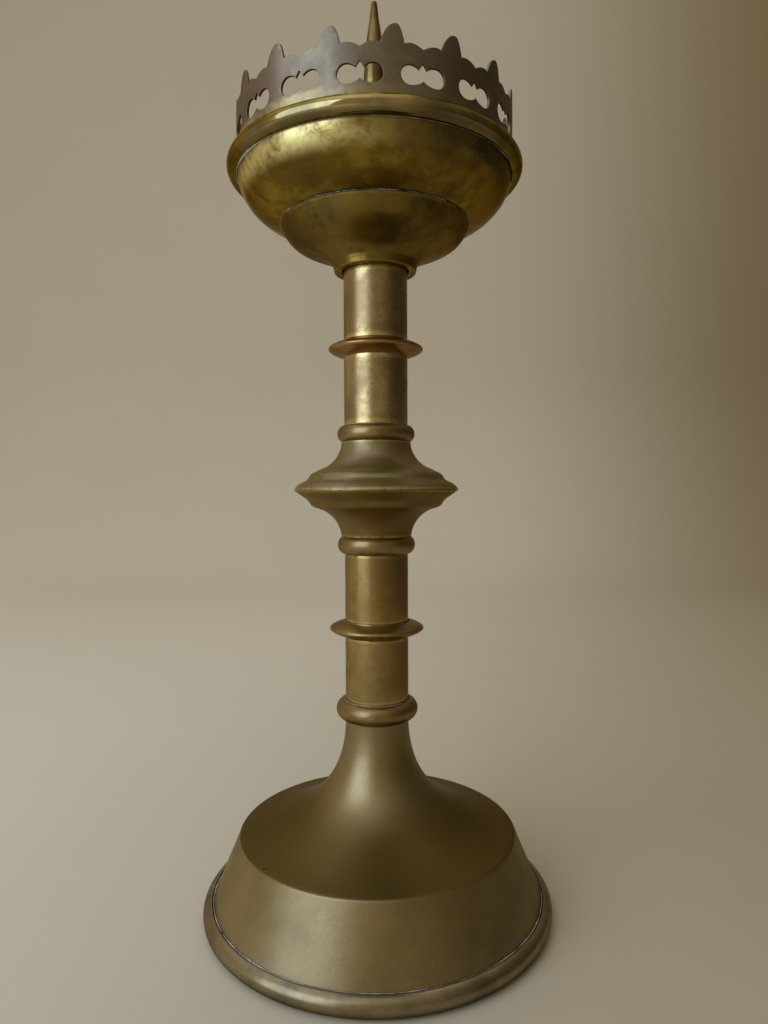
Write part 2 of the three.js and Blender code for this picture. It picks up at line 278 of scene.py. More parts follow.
def lathe(name, outline, body, *nodes, sides=SIDES, longest=1.5):
    """Solid of revolution. Its points hold along, the way along the outline, and bend."""
    points = refine(rounded(outline), longest)
    bends = bend_of(points)
    bm = with_values(bmesh.new())
    along_layer, bend_layer = (bm.verts.layers.float[key] for key in ("along", "bend"))
    along = 0
    rings = []
    for i, point in enumerate(points):
        if i:
            along += (point - points[i - 1]).length
        ring = []
        for k in range(1 if point.x < 1e-6 else sides):
            vert = bm.verts.new(round_place(point.x, 2 * math.pi * k / sides, point.y) * MM)
            vert[along_layer] = along
            vert[bend_layer] = bends[i]
            ring.append(vert)
        rings.append(ring)
    join_rings(bm, rings)
    return finish_mesh(name, bm, body, *nodes)


# Node helpers

class Nodes:
    """Short calls that build the node tree of a material or a world."""

    def __init__(self, owner):
        owner.use_nodes = True
        self.tree = owner.node_tree
        self.tree.nodes.clear()

    def add(self, kind, inputs=None, out=0, **settings):
        """Adds a node and gives its output number out, or nothing where that is None."""
        node = self.tree.nodes.new(kind)
        for key, value in settings.items():
            setattr(node, key, value)
        for key, value in (inputs or {}).items():
            if isinstance(value, bpy.types.NodeSocket):
                self.tree.links.new(value, node.inputs[key])
            else:
                node.inputs[key].default_value = value
        return None if out is None else node.outputs[out]

    def math(self, operation, a, b=0.0, clamp=False):
        return self.add("ShaderNodeMath", {0: a, 1: b}, operation=operation, use_clamp=clamp)

    def times(self, a, b, clamp=False):
        return self.math("MULTIPLY", a, b, clamp)

    def step(self, value, start, end, first=0.0, last=1.0):
        """Goes smoothly from first to last while the value goes from start to end."""
        inputs = {"Value": value, "From Min": start, "From Max": end, "To Min": first, "To Max": last}
        return self.add("ShaderNodeMapRange", inputs, interpolation_type="SMOOTHSTEP")

    def mix(self, share, a, b):
        return self.add("ShaderNodeMix", {0: share, 6: a, 7: b}, out=2, data_type="RGBA")

    def noise(self, vector, scale, detail=3.0, rough=0.55, warp=0.0):
        inputs = {"Vector": vector, "Scale": scale, "Detail": detail, "Roughness": rough, "Distortion": warp}
        return self.add("ShaderNodeTexNoise", inputs)

    def attribute(self, name):
        return self.add("ShaderNodeAttribute", out=2, attribute_name=name)

    def bump(self, height, strength, distance):
        inputs = {"Strength": strength, "Distance": distance, "Height": height}
        return self.add("ShaderNodeBump", inputs)

    def object_place(self):
        """The place on the object, in metres, which moves with its body."""
        return self.add("ShaderNodeTexCoord", out=3)

    def part(self, vector, axis):
        return self.add("ShaderNodeSeparateXYZ", {0: vector}, out="xyz".index(axis))

    def distance(self, place, spot):
        """Distance from a spot that is given in millimetres."""
        inputs = {0: place, 1: Vector(spot) * MM}
        return self.add("ShaderNodeVectorMath", inputs, out=1, operation="DISTANCE")


def colour(r, g, b):
    return (r, g, b, 1.0)


# Brass: turning marks are counted per millimetre, the scales of all other noise per metre

FINE_MARKS = 9.0
COARSE_MARKS = 1.3
MARK_DRIFT = 0.35
RED_PATCHES = 28.0
PIT_CELLS = 70.0
BAND_WEAR = 110.0
EDGE_WEAR = 420.0
BRIGHT_GRAINS = 1500.0
BAND_WAVE = 1.2 * MM
MARK_DEPTH = 0.06 * MM
BRIGHTER = 1.7
PIT_TONE = (0.02, 0.015, 0.008)
EDGE_GLINT = (0.55, 0.47, 0.34)
FILM_IOR = 2.1


def turning_marks(n, place):
    """Marks that run round the piece and drift a little: the fine ones, and all of them."""
    turn = n.math("ARCTAN2", n.part(place, "x"), n.part(place, "y"))
    inputs = {0: n.attribute("along"), 1: n.times(turn, MARK_DRIFT), 2: 0.0}
    strip = n.add("ShaderNodeCombineXYZ", inputs)
    fine = n.noise(strip, FINE_MARKS, 2.0, 0.6)
    coarse = n.noise(strip, COARSE_MARKS, 2.0, 0.5)
    return fine, n.math("ADD", n.times(fine, 0.6), n.times(coarse, 0.6))


def blot(n, place, small, spot, size):
    """A wide dark spot with a cloudy edge."""
    cloudy = n.math("ADD", n.distance(place, spot), n.times(small, size * 0.9 * MM))
    return n.step(cloudy, size * 1.4 * MM, size * 0.6 * MM, 0.0, 0.85)


def polish(n, place, small, bands, reach, left_highlight_reach):
    """Broken bands of bare metal at these heights."""
    polished = 0.0
    for height in bands:
        away = n.math("ABSOLUTE", n.math("SUBTRACT", n.part(place, "z"), height * MM))
        wavy = n.math("ADD", away, n.times(small, BAND_WAVE))
        polished = n.math("MAXIMUM", polished, n.step(wavy, reach * MM, reach * MM * 0.4))
    polished = n.times(polished, n.step(n.noise(place, BAND_WEAR, 6.0, 0.75), 0.28, 0.6))
    # Weaker to the right, so the bands stay full on the lit left: real polish with a painted highlight
    if left_highlight_reach:
        side = n.step(n.part(place, "x"), 0.5 * left_highlight_reach * MM, -left_highlight_reach * MM, 0.15, 1.0)
        polished = n.times(polished, side)
    return polished


def pitting(n, place, small, pits):
    """Small dark pits, scattered and in the places where they show."""
    inputs = {"Vector": place, "Scale": PIT_CELLS, "Randomness": 1.0}
    cells = n.add("ShaderNodeTexVoronoi", inputs, feature="F1")
    pit = n.times(n.step(cells, 0.055, 0.02), n.step(small, 0.58, 0.68))
    for spot, size in pits:
        pit = n.math("MAXIMUM", pit, n.step(n.distance(place, spot), size * MM, size * MM * 0.5))
    return pit


def dullness(n, rough, tarnished, fine, stains, hollow, edge):
    """Roughness: tarnish, stains and grime are duller than clean metal, and rubbed edges shine."""
    gloss = n.step(tarnished, 0.0, 1.0, rough[0], rough[1])
    gloss = n.math("ADD", gloss, n.step(fine, 0.2, 0.8, -0.04, 0.04))
    gloss = n.math("ADD", gloss, n.times(stains, 0.06))
    gloss = n.math("ADD", gloss, n.times(hollow, 0.2))
    return n.math("SUBTRACT", gloss, n.times(edge, 0.1), clamp=True)


def film_share(n, cloud, upward, film, film_edge, slope_shade):
    """How much film there is: less toward the sides, in the clouds and on faces with painted slope shade."""
    facing = n.add("ShaderNodeLayerWeight", {"Blend": 0.5}, out=1)
    veil = n.step(facing, film_edge[0], film_edge[1], film, film * film_edge[2])
    veil = n.times(veil, n.step(cloud, 0.35, 0.65, 1.1, 0.75), clamp=True)
    return n.times(veil, n.step(upward, slope_shade[0], slope_shade[1], 1.0, 1.0 - slope_shade[2]))


def brass(
    name,
    clean,
    tarnish,
    dark,
    rough=(0.24, 0.36),
    spread=(0.42, 0.62),
    blotch=40,
    marks=0.2,
    rubbed=0.5,
    metal=1.0,
    film=0.4,
    film_rough=0.28,
    film_edge=(0.35, 0.9, 0.35),
    slope_shade=(0.5, 0.95, 0.0),
    left_highlight_reach=0.0,
    speckle=0.0,
    tint=None,
    bands=(),
    band_reach=4.2,
    shine=(0.42, 0.34, 0.1),
    pits=(),
    blots_and_shade=(),
):
    """Aged brass under a thin dull film.

    Clean metal clouds over with tarnish, and dark lies in the stains and hollows. rough is the
    roughness of the two, spread the stretch of the noise over which one turns into the other, blotch
    the scale of the clouds, marks the strength of the turning marks, rubbed how bright the edges
    are, and metal how metallic it all is.

    The film is film strong where it faces the eye, and film_edge says how it thins toward the sides.
    slope_shade is painted shade: the dark tone laid on faces of one slope, where the film also thins: from
    and to which slope, and how much. bands are heights, in mm, round which the metal is polished to shine,
    band_reach to either side. Where left_highlight_reach is given, they are full that far to the left and
    weak on the right: real polish with a painted highlight on the lit left. speckle is how strongly bright
    grains show, and tint a red that shows in patches. pits are small (place, radius) marks, and
    blots_and_shade are wide soft
    ones: stains, and painted shade where they darken a shaded side.
    """
    material = bpy.data.materials.new(name)
    n = Nodes(material)
    clean_tone, dark_tone = colour(*clean), colour(*dark)
    bright_tone = colour(*(min(1.0, part * BRIGHTER) for part in clean))
    place = n.object_place()
    upward = n.part(n.add("ShaderNodeTexCoord", out=1), "z")
    bend = n.attribute("bend")
    fine, rings = turning_marks(n, place)

    # Cloudy tarnish, in large and small patches
    clouds = n.noise(place, blotch, 5.0, 0.62, 0.4)
    small = n.noise(place, blotch * 6, 4.0, 0.6, 0.2)
    cloud = n.math("ADD", n.times(clouds, 0.75), n.times(small, 0.25))
    tarnished = n.step(cloud, spread[0], spread[1])
    tone = n.mix(tarnished, clean_tone, colour(*tarnish))
    stains = n.step(n.noise(place, blotch * 0.6, 4.0, 0.6, 0.6), 0.52, 0.78)
    tone = n.mix(stains, tone, dark_tone)
    # Wide dark spots: stains, and painted shade on the right side of the lower tubes
    for spot, size in blots_and_shade:
        tone = n.mix(blot(n, place, small, spot, size), tone, dark_tone)
    if tint:
        red = n.noise(place, RED_PATCHES, 3.0, 0.55, 0.5)
        tone = n.mix(n.step(red, 0.5, 0.72, 0.0, 0.75), tone, colour(*tint))
    tone = n.mix(n.step(rings, 0.4, 0.8, 0.0, 0.16), tone, clean_tone)

    # Edges are rubbed clean, hollows are dark, and faces of the chosen slope get painted shade
    broken = n.noise(place, EDGE_WEAR, 3.0, 0.7)
    edge = n.times(n.step(bend, 0.12, 0.9), n.step(broken, 0.25, 0.6), clamp=True)
    tone = n.mix(n.times(edge, rubbed), tone, bright_tone)
    hollow = n.times(n.step(bend, -0.15, -0.9), n.step(broken, 0.3, 0.7, 0.55, 1.0), clamp=True)
    tone = n.mix(n.times(hollow, 0.7), tone, dark_tone)
    if bands:
        polished = polish(n, place, small, bands, band_reach, left_highlight_reach)
        tone = n.mix(n.times(polished, 0.8), tone, colour(*shine))
    if speckle:
        grains = n.noise(place, BRIGHT_GRAINS, 3.0, 0.75)
        grain = n.times(n.step(grains, 0.56, 0.7), n.step(clouds, 0.62, 0.4))
        tone = n.mix(n.times(grain, speckle), tone, bright_tone)
    # Painted shade: the dark tone on faces of the chosen slope, such as the foot's top and the undersides of
    # the bead and foot ring
    tone = n.mix(n.step(upward, slope_shade[0], slope_shade[1], 0.0, slope_shade[2]), tone, dark_tone)
    pit = pitting(n, place, small, pits)
    tone = n.mix(n.times(pit, 0.85), tone, colour(*PIT_TONE))

    height = n.math("ADD", rings, n.times(small, 0.5))
    height = n.math("SUBTRACT", height, n.times(pit, 1.2))
    shader = n.add(
        "ShaderNodeBsdfPrincipled",
        {
            "Base Color": tone,
            "Metallic": metal,
            "Roughness": dullness(n, rough, tarnished, fine, stains, hollow, edge),
            "Normal": n.bump(height, marks, MARK_DEPTH),
            "Specular Tint": colour(*EDGE_GLINT),
            "Coat Weight": film_share(n, cloud, upward, film, film_edge, slope_shade),
            "Coat Roughness": film_rough,
            "Coat IOR": FILM_IOR,
        },
    )
    n.add("ShaderNodeOutputMaterial", {0: shader}, out=None)
    return material


def matte(name, light, shade, scale):
    """Dry stuff without gloss, in two tones."""
    material = bpy.data.materials.new(name)
    n = Nodes(material)
    grain = n.noise(n.object_place(), scale, 4.0, 0.6)
    tone = n.mix(n.step(grain, 0.35, 0.65), colour(*light), colour(*shade))
    normal = n.bump(grain, 0.4, 0.2 * MM)
    shader = n.add("ShaderNodeBsdfPrincipled", {"Base Color": tone, "Roughness": 0.8, "Normal": normal})
    n.add("ShaderNodeOutputMaterial", {0: shader}, out=None)
    return material


# Looks

materials = {
    "foot": brass(
        "foot_brass_look", (0.25, 0.172, 0.042), (0.195, 0.132, 0.026), (0.115, 0.076, 0.017),
        rough=(0.4, 0.46), spread=(0.34, 0.66), blotch=24, marks=0.08, rubbed=0.08, metal=0.8,
        film=0.66, film_rough=0.36, film_edge=(0.3, 0.95, 0.45), speckle=1.0,
        # The foot's top, which faces up, gets painted shade
        slope_shade=(0.52, 0.92, 0.9),
        pits=(((-44.5, -39, 34.9), 0.9), ((-23.5, -67.6, 15.2), 0.5), ((-24.4, -68.3, 12.6), 0.5)),
    ),
    "stem": brass(
        "stem_brass_look", (0.46, 0.345, 0.135), (0.28, 0.18, 0.06), (0.15, 0.09, 0.033),
        rough=(0.18, 0.34), spread=(0.38, 0.58), blotch=60, marks=1.1, metal=0.95, film=0.45,
        tint=(0.24, 0.12, 0.035), speckle=0.9,
        bands=(214.6, 242.3, 250.9, 279), band_reach=2.4, shine=(0.6, 0.5, 0.17),
    ),
    "dull_stem": brass(
        "dull_stem_brass_look", (0.36, 0.245, 0.055), (0.25, 0.15, 0.02), (0.12, 0.067, 0.012),
        rough=(0.16, 0.27), blotch=34, marks=0.6, metal=0.96, film=0.5,
        tint=(0.26, 0.12, 0.022),
        bands=(93.2, 119.6, 128.2, 156.2), band_reach=1.3, shine=(0.4, 0.31, 0.1),
        # These four dark spots down the right side of the lower tubes are painted shade
        blots_and_shade=[((14, -6, height), 13) for height in (102, 114, 136, 148)],
    ),
    "trim": brass(
        "trim_brass_look", (0.28, 0.18, 0.042), (0.19, 0.117, 0.022), (0.1, 0.062, 0.014),
        rough=(0.36, 0.44), blotch=60, marks=0.1, rubbed=0.3, metal=0.88, film=0.45,
    ),
    "red_brass": brass(
        "red_brass_look", (0.3, 0.155, 0.035), (0.21, 0.1, 0.02), (0.12, 0.06, 0.014),
        rough=(0.26, 0.34), blotch=60, marks=0.1, metal=0.9, film=0.35,
    ),
    "foot_ring": brass(
        "foot_ring_brass_look", (0.22, 0.155, 0.04), (0.14, 0.098, 0.024), (0.06, 0.041, 0.01),
        rough=(0.34, 0.44), blotch=60, marks=0.1, rubbed=0.2, metal=0.85, film=0.85,
        # The ring's underside gets painted shade
        slope_shade=(0.1, -0.6, 0.65),
    ),
    "knop": brass(
        "knop_brass_look", (0.26, 0.19, 0.055), (0.19, 0.136, 0.034), (0.125, 0.086, 0.02),
        rough=(0.42, 0.48), blotch=30, marks=0.12, rubbed=0.9, metal=0.7, film=0.65, film_rough=0.34,
        tint=(0.2, 0.105, 0.03),
    ),
    # A darker copy of the knop look, with less film, for the lower half: painted shade on the underside
    "knop_shaded_underside": brass(
        "knop_underside_shaded_look", (0.21, 0.145, 0.03), (0.15, 0.098, 0.015), (0.1, 0.062, 0.009),
        rough=(0.44, 0.5), blotch=30, marks=0.2, rubbed=0.9, metal=0.7, film=0.2, film_rough=0.34,
        tint=(0.17, 0.075, 0.02),
    ),
    "cup": brass(
        "cup_brass_look", (0.19, 0.13, 0.016), (0.09, 0.055, 0.004), (0.036, 0.025, 0.004),
        rough=(0.3, 0.4), blotch=40, marks=0.15, metal=0.92, film=0.12, speckle=0.6,
        tint=(0.15, 0.075, 0.01), blots_and_shade=(((23, -34, 296), 4),),
    ),
    "pan": brass(
        "pan_brass_look", (0.29, 0.19, 0.02), (0.14, 0.083, 0.004), (0.045, 0.036, 0.007),
        rough=(0.18, 0.34), spread=(0.4, 0.58), blotch=30, marks=0.15, metal=0.96, film=0.1,
        speckle=0.8, tint=(0.15, 0.075, 0.008),
        # Polished band near the rim, full on the lit left: real polish with a painted highlight
        bands=(316,), band_reach=8.5, shine=(0.95, 0.82, 0.36), left_highlight_reach=34,
        blots_and_shade=(((29, -51, 309.5), 13), ((42, -41, 313), 9), ((-38, -44, 309), 6)),
    ),
    "bead": brass(
        "bead_brass_look", (0.36, 0.27, 0.045), (0.18, 0.125, 0.013), (0.07, 0.043, 0.006),
        rough=(0.1, 0.2), blotch=50, marks=0.1, rubbed=0.2, metal=0.98, film=1.0, film_rough=0.07,
        # The bead's underside gets painted shade
        film_edge=(0.2, 0.6, 0.1), slope_shade=(-0.2, -0.8, 0.6),
    ),
    "crown": brass(
        "crown_brass_look", (0.2, 0.155, 0.08), (0.13, 0.096, 0.045), (0.08, 0.056, 0.024),
        rough=(0.38, 0.5), spread=(0.35, 0.6), blotch=36, marks=0.12, metal=0.85, film=0.6,
        film_rough=0.34, tint=(0.14, 0.08, 0.045), speckle=0.15,
        # Polished band at the crown's foot, full on the lit left: real polish with painted glints
        bands=(326.5,), band_reach=5.5, shine=(0.5, 0.38, 0.13), left_highlight_reach=34,
    ),
    "pricket": brass(
        "pricket_brass_look", (0.3, 0.23, 0.085), (0.17, 0.12, 0.04), (0.07, 0.048, 0.018),
        rough=(0.16, 0.26), blotch=80, marks=0.2, rubbed=0.0, film=0.1,
    ),
    "steel": brass(
        "steel_look", (0.42, 0.41, 0.4), (0.3, 0.29, 0.28), (0.13, 0.11, 0.09),
        rough=(0.34, 0.5), blotch=120, marks=0.3,
    ),
    "residue": matte("polish_residue_look", (0.5, 0.56, 0.58), (0.3, 0.32, 0.3), 900.0),
}


def dress(piece, look):
    piece.data.materials.append(materials[look])


# Foot

def make_foot():
    """Spun sheet: a straight skirt, a crease, a shallow top and a trumpet up to the stem."""
    bottom, top = low("foot_shell"), high("foot_shell")
    skirt_radius = 72.5
    crease = (60.75, 34.75, 1.6)
    top_edge, top_handle, neck_handle = (59.4, 35.2), (34, 40.7), (TUBE_RADIUS, 53.1)
    trumpet = sweep(top_edge, top_handle, neck_handle, (TUBE_RADIUS, top), 64)
    outside = [(skirt_radius, bottom), crease, *trumpet]
    foot = lathe("foot", shell(outside, SHEET, "level", "level"), STAND, "foot_shell", longest=2.0)
    dress(foot, "foot")


def make_foot_ring():
    """Half-round ring that carries the skirt on its ledge."""
    size = FOOT_RING_SIZE
    centre, inner, ledge_edge = 72.3, 69.5, 72.8
    ledge = low("foot_shell") - FACE_GAP
    outline = [
        (inner, 0, 0.4),
        *arc((centre, size), (size, size), -90, seam(ledge_edge, centre, size), 36),
        (ledge_edge, ledge),
        (inner, ledge, 0.3),
    ]
    dress(lathe("foot_edge_ring", outline, STAND, "foot_ring"), "foot_ring")


# Stem

def spigoted(name, node, face, lower, upper, look="trim"):
    """Turned piece with this face, and spigots of these radii below and above."""
    bottom, top = face[0][1], face[-1][1]
    outline = [
        (ROD_HOLE, bottom - SPIGOT_LENGTH),
        (lower, bottom - SPIGOT_LENGTH),
        (lower, bottom),
        *face,
        (upper, top),
        (upper, top + SPIGOT_LENGTH),
        (ROD_HOLE, top + SPIGOT_LENGTH),
    ]
    dress(lathe(name, outline, STAND, node), look)


def grooved(face):
    """The face with a narrow groove at its upper end, round the tube."""
    clear, lip, outer, inner, depth = 0.75, 0.65, 0.5, 0.1, 0.5
    middle = (face[0][1] + face[-1][1]) / 2
    kept = [p for p in face if p[0] > TUBE_RADIUS + clear or p[1] < middle]
    land = kept[-1][1]
    return [
        *kept,
        (TUBE_RADIUS + lip, land + 0.03, 0.12),
        (TUBE_RADIUS + outer, land - depth),
        (TUBE_RADIUS + inner, land - depth),
        (TUBE_RADIUS - inner, face[-1][1]),
    ]


def collar(name, node, seats, spigots, groove=False):
    """Half-round collar. Its seats are the radii at which it meets the pieces below and above."""
    bottom = low(node) + SPIGOT_LENGTH
    top = high(node) - SPIGOT_LENGTH
    centre = min(seats)
    bulge = radius(node) - centre
    start, end = (seam(seat, centre, bulge) for seat in seats)
    rise_below, rise_above = math.sin(math.radians(start)), math.sin(math.radians(end))
    half = (top - bottom) / (rise_below + rise_above)
    face = arc((centre, bottom + half * rise_below), (bulge, half), -start, end, 36)
    spigoted(name, node, grooved(face) if groove else face, *spigots)


def edged_ring(name, node, look):
    """Ring whose faces run out to a thin soft edge. Its upper face has a groove round the tube."""
    bottom = low(node) + SPIGOT_LENGTH
    top = high(node) - SPIGOT_LENGTH
    half = (top - bottom) / 2
    edge = radius(node)
    softness = 0.75
    steps = 40
    face = []
    for i in range(steps + 1):
        share = -1 + 2 * i / steps
        fall = (math.hypot(share, softness) - softness) / (math.hypot(1, softness) - softness)
        face.append((edge - (edge - TUBE_RADIUS) * fall, bottom + half * (1 + share)))
    spigoted(name, node, grooved(face), SPIGOT_RADIUS, SPIGOT_RADIUS, look)


def tube(name, node, look):
    bottom, top, softness = low(node), high(node), 0.15
    outline = [
        (TUBE_BORE, bottom),
        (TUBE_RADIUS, bottom, softness),
        (TUBE_RADIUS, top, softness),
        (TUBE_BORE, top),
    ]
    dress(lathe(name, outline, STAND, node), look)


def make_knop():
    """Two spun halves that meet at the sharp edge. Most heights are counted from that edge."""
    edge = low("knop_upper_shell")
    rim = radius("knop_lower_shell") - 0.05

    floor = low("knop_lower_shell")
    neck, hollow = KNOP_NECK_BELOW, 14.1
    lower = [
        (KNOP_HOLE, floor),
        (neck, floor),
        *arc((neck + hollow, edge - 21.8), (hollow, hollow), 172, 100, 30),
        *lifted([(28.5, -7.1, 0.6), (29.1, -6.4), (29.8, -5.2)], edge),
        *lifted(through([(30.8, -4.1), (32, -3.25), (33.3, -2.4), (34.9, -1.3)], 4), edge),
        *lifted([(rim, -0.35, 0.2), (rim, -FACE_GAP)], edge),
    ]
    piece = lathe("knop_lower_half", shell(lower, SHEET, "upright", "level"), STAND, "knop_lower_shell")
    dress(piece, "knop_shaded_underside")

    top = high("knop_upper_shell")
    neck, hollow = KNOP_NECK_ABOVE, 13.3
    upper = [
        *lifted([(rim, 0), (rim, 0.25, 0.2), (35.5, 1.1), (34.7, 1.95), (33.4, 2.9, 0.3)], edge),
        *lifted(through([(32, 3.5), (31, 4.05), (30.1, 4.85), (29.4, 6)], 4), edge),
        *lifted([(28.7, 6.8, 0.5), (27.9, 7.35), (26.2, 8.1)], edge),
        *arc((neck + hollow, edge + 21.7), (hollow, hollow), 252, 188, 30),
        (neck, top),
        (KNOP_HOLE, top),
    ]
    piece = lathe("knop_upper_half", shell(upper, SHEET, "level", "upright"), STAND, "knop_upper_shell")
    dress(piece, "knop")


def make_stem():
    on_tube = TUBE_RADIUS - 0.35
    to_tubes = (SPIGOT_RADIUS, SPIGOT_RADIUS)
    to_knop_above, to_knop_below = (SPIGOT_RADIUS, KNOP_SPIGOT), (KNOP_SPIGOT, SPIGOT_RADIUS)
    collar("foot_collar_turned", "foot_collar", (on_tube, on_tube), to_tubes, groove=True)
    tube("stem_tube_1", "lower_tube_a", "dull_stem")
    edged_ring("lower_edge_ring", "lower_ring", "trim")
    tube("stem_tube_2", "lower_tube_b", "dull_stem")
    collar("knop_collar_below", "knop_lower_collar", (on_tube, KNOP_NECK_BELOW), to_knop_above)
    make_knop()
    collar("knop_collar_above", "knop_upper_collar", (KNOP_NECK_ABOVE, on_tube), to_knop_below)
    tube("stem_tube_3", "upper_tube_a", "stem")
    edged_ring("upper_edge_ring", "upper_ring", "red_brass")
    tube("stem_tube_4", "upper_tube_b", "stem")


# Pan

def make_cup():
    """Cast cup under the bowl. The top tube stands in the recess of its lip."""
    lip = low("neck_cup")
    seat = lip + 4
    floor = seat + 3
    recess = TUBE_RADIUS + 0.7
    rim_inner, inside_reach = (39.7, 298.9), 39.0
    outside = through(
        [(18.1, lip + 1.2), (18.4, 282.6), (19.2, 284.3), (22.9, 287), (30.6, 290), (35.1, 292),
         (37.7, 294), (39.6, 296.5), (41.2, 299.4)],
        8,
    )
    inside = [p for p in inset(outside, CAST_WALL) if p.y > seat + 3.2 and p.x < inside_reach]
    outline = [
        (ROD_HOLE, lip),
        (SPIGOT_RADIUS, lip),
        (SPIGOT_RADIUS, seat),
        (recess, seat),
        (recess, lip + 0.3),
        (recess + 0.5, lip, 0.3),
        (17.9, lip, 0.7),
        *outside,
        rim_inner,
        *[tuple(p) for p in reversed(inside)],
        (20, floor),
        (ROD_HOLE, floor),
    ]
    dress(lathe("cup", outline, STAND, "neck_cup"), "cup")


def make_bowl():
    """Spun drip pan, with a small step round the hole for the rod."""
    underside, top = low("bowl"), high("bowl")
    floor = underside + 0.5
    wall = sweep((24, floor), (46.2, floor), (BOWL_RADIUS, 308.4), (BOWL_RADIUS, top), 56)
    outside = [(ROD_HOLE, underside), (12.7, underside, 0.5), (13.4, floor, 0.5), *wall]
    bowl = lathe("drip_bowl", shell(outside, SHEET, "upright", "level"), STAND, "bowl")
    dress(bowl, "pan")


def make_bead():
    """Half-round bead outside the bowl's edge, with a tongue that lies on it."""
    centre = (59.85, (low("rim_bead") + high("rim_bead")) / 2)
    inner = BOWL_RADIUS - SHEET
    face = BOWL_RADIUS + 0.3
    bound = seam(face, centre[0], BEAD_SIZE)
    tongue_low = high("bowl") + FACE_GAP
    tongue_high = high("bowl") + 1.1
    outline = [
        (inner, tongue_low),
        (face, tongue_low),
        *arc(centre, (BEAD_SIZE, BEAD_SIZE), -bound, bound, 44),
        (face, tongue_high),
        (inner, tongue_high),
    ]
    dress(lathe("rim_bead_turned", outline, STAND, "rim_bead", sides=256), "bead")


def make_pan_washer():
    bottom, top, outer = low("pan_washer"), high("pan_washer"), 11.8
    outline = [
        (ROD_HOLE, bottom),
        (outer, bottom, 0.2),
        (outer, top, 0.4),
        (ROD_HOLE, top, 0.3),
    ]
    dress(lathe("pan_washer_turned", outline, STAND, "pan_washer"), "trim")


def make_pan_spacer():
    bottom, top, outer = low("pan_spacer"), high("pan_spacer"), 9
    outline = [
        (ROD_HOLE, bottom, 0.3),
        (outer, bottom, 0.4),
        (outer, top, 0.4),
        (ROD_HOLE, top, 0.3),
    ]
    dress(lathe("pan_spacer_sleeve", outline, STAND, "pan_spacer"), "trim")


def make_pricket():
    """Tapered spike on a small foot, with a blind bore for the rod."""
    base, tip = low("pricket"), high("pricket")
    bore_end = 312
    taper = through(
        [(6.2, base + 5.5), (6.05, 313), (5.9, 325), (5.4, 345), (4.65, 365), (3.25, 381),
         (2.1, 388.8), (1.35, 395.2)],
        10,
    )
    outline = [
        (0, bore_end),
        (THREAD_BORE, bore_end),
        (THREAD_BORE, base),
        (9.5, base, 0.3),
        (9.4, base + 1, 0.5),
        (7.1, base + 2.4, 1.5),
        *taper,
        (1.1, tip - 0.45),
        (0.7, tip - 0.12),
        (0, tip),
    ]
    dress(lathe("pricket_spike", outline, STAND, "pricket", sides=96), "pricket")


# Crown: the strip is drawn flat, then bent round

REPEATS = 16
CUTS_PER_REPEAT = 12
CROWN_TURN = math.radians(-4.5)
CROWN_SHEET = 1.1
CROWN_SOFTNESS = 0.14
LEAF_BASE = 18.7
LEAF_LEAN = 1.45
LEAF_HALF_WIDTH = 4.5
LEAF_POWER = 2.33


def piercing():
    """One hole, centred on 0, heights above the bead."""
    lobe, height = (5, 8), 3.6
    right = [
        (0, 12.4),
        (1.6, 10.15),
        *arc(lobe, (4.36, height), 139, 90, 8),
        *arc(lobe, (3.45, height), 84, -84, 24),
        *arc(lobe, (5.66, height), -90, -152, 10),
    ]
    left = [(-x, z) for x, z in reversed(right[1:-1])]
    return right + left


def leaf_edge(base_width, height, steps=14):
    """A leaf's edge from its base to its tip, as (distance from the tip's line, height)."""
    points = []
    for i in range(steps):
        width = base_width * (1 - i / steps)
        share = (width / base_width) ** LEAF_POWER
        points.append((width, LEAF_BASE + (height - LEAF_BASE) * (1 - share)))
    return points


def valley(pitch, height):
    """The top edge from one leaf's tip to the next one's, with the cusp at 0."""
    half = pitch / 2
    left = [(-half + LEAF_LEAN + w, z) for w, z in leaf_edge(LEAF_HALF_WIDTH - LEAF_LEAN, height)]
    right = [(half + LEAF_LEAN - w, z) for w, z in leaf_edge(LEAF_HALF_WIDTH + LEAF_LEAN, height)]
    corner = half - LEAF_HALF_WIDTH
    scallop = bow((0, 17.3), (4.2, 20), (corner, LEAF_BASE), 9)
    mirrored = [(-x, z) for x, z in reversed(scallop[1:])]
    return [*reversed(left), *mirrored[1:], *scallop[:-1], *right]


def crown_loops(start, first, pitch, length):
    """The flat strip's outline and its piercings."""
    bottom = low("crown")
    bead_top = high("rim_bead")
    height = high("crown") - bead_top
    top = []
    for k in range(first, first + REPEATS):
        for x, z in valley(pitch, height):
            top.append((x + k * pitch, z + bead_top))
    top = [(start, height + bead_top), *top, (start + length, height + bead_top)]
    loops = [[(start, bottom), *top, (start + length, bottom)]]
    for k in range(first, first + REPEATS):
        loops.append([(x + k * pitch, z + bead_top) for x, z in piercing()])
    return loops


def flat_strip(loops):
    """The strip of sheet with softened edges, as a bmesh that lies flat."""
    curve = bpy.data.curves.new("crown_strip", "CURVE")
    curve.dimensions = "2D"
    curve.fill_mode = "BOTH"
    curve.extrude = CROWN_SHEET / 2 - CROWN_SOFTNESS
    curve.bevel_depth = CROWN_SOFTNESS
    curve.bevel_resolution = 2
    curve.offset = -CROWN_SOFTNESS
    for loop in loops:
        spline = curve.splines.new("POLY")
        spline.points.add(len(loop) - 1)
        for point, (x, z) in zip(spline.points, loop):
            point.co = (x, z, 0, 1)
        spline.use_cyclic_u = True
    flat = bpy.data.objects.new("crown_strip", curve)
    bpy.context.scene.collection.objects.link(flat)
    depsgraph = bpy.context.evaluated_depsgraph_get()
    mesh = bpy.data.meshes.new_from_object(flat.evaluated_get(depsgraph))
    bpy.data.objects.remove(flat)
    bpy.data.curves.remove(curve)

    bm = bmesh.new()
    bm.from_mesh(mesh)
    bpy.data.meshes.remove(mesh)
    bmesh.ops.remove_doubles(bm, verts=bm.verts, dist=0.001)
    return bm


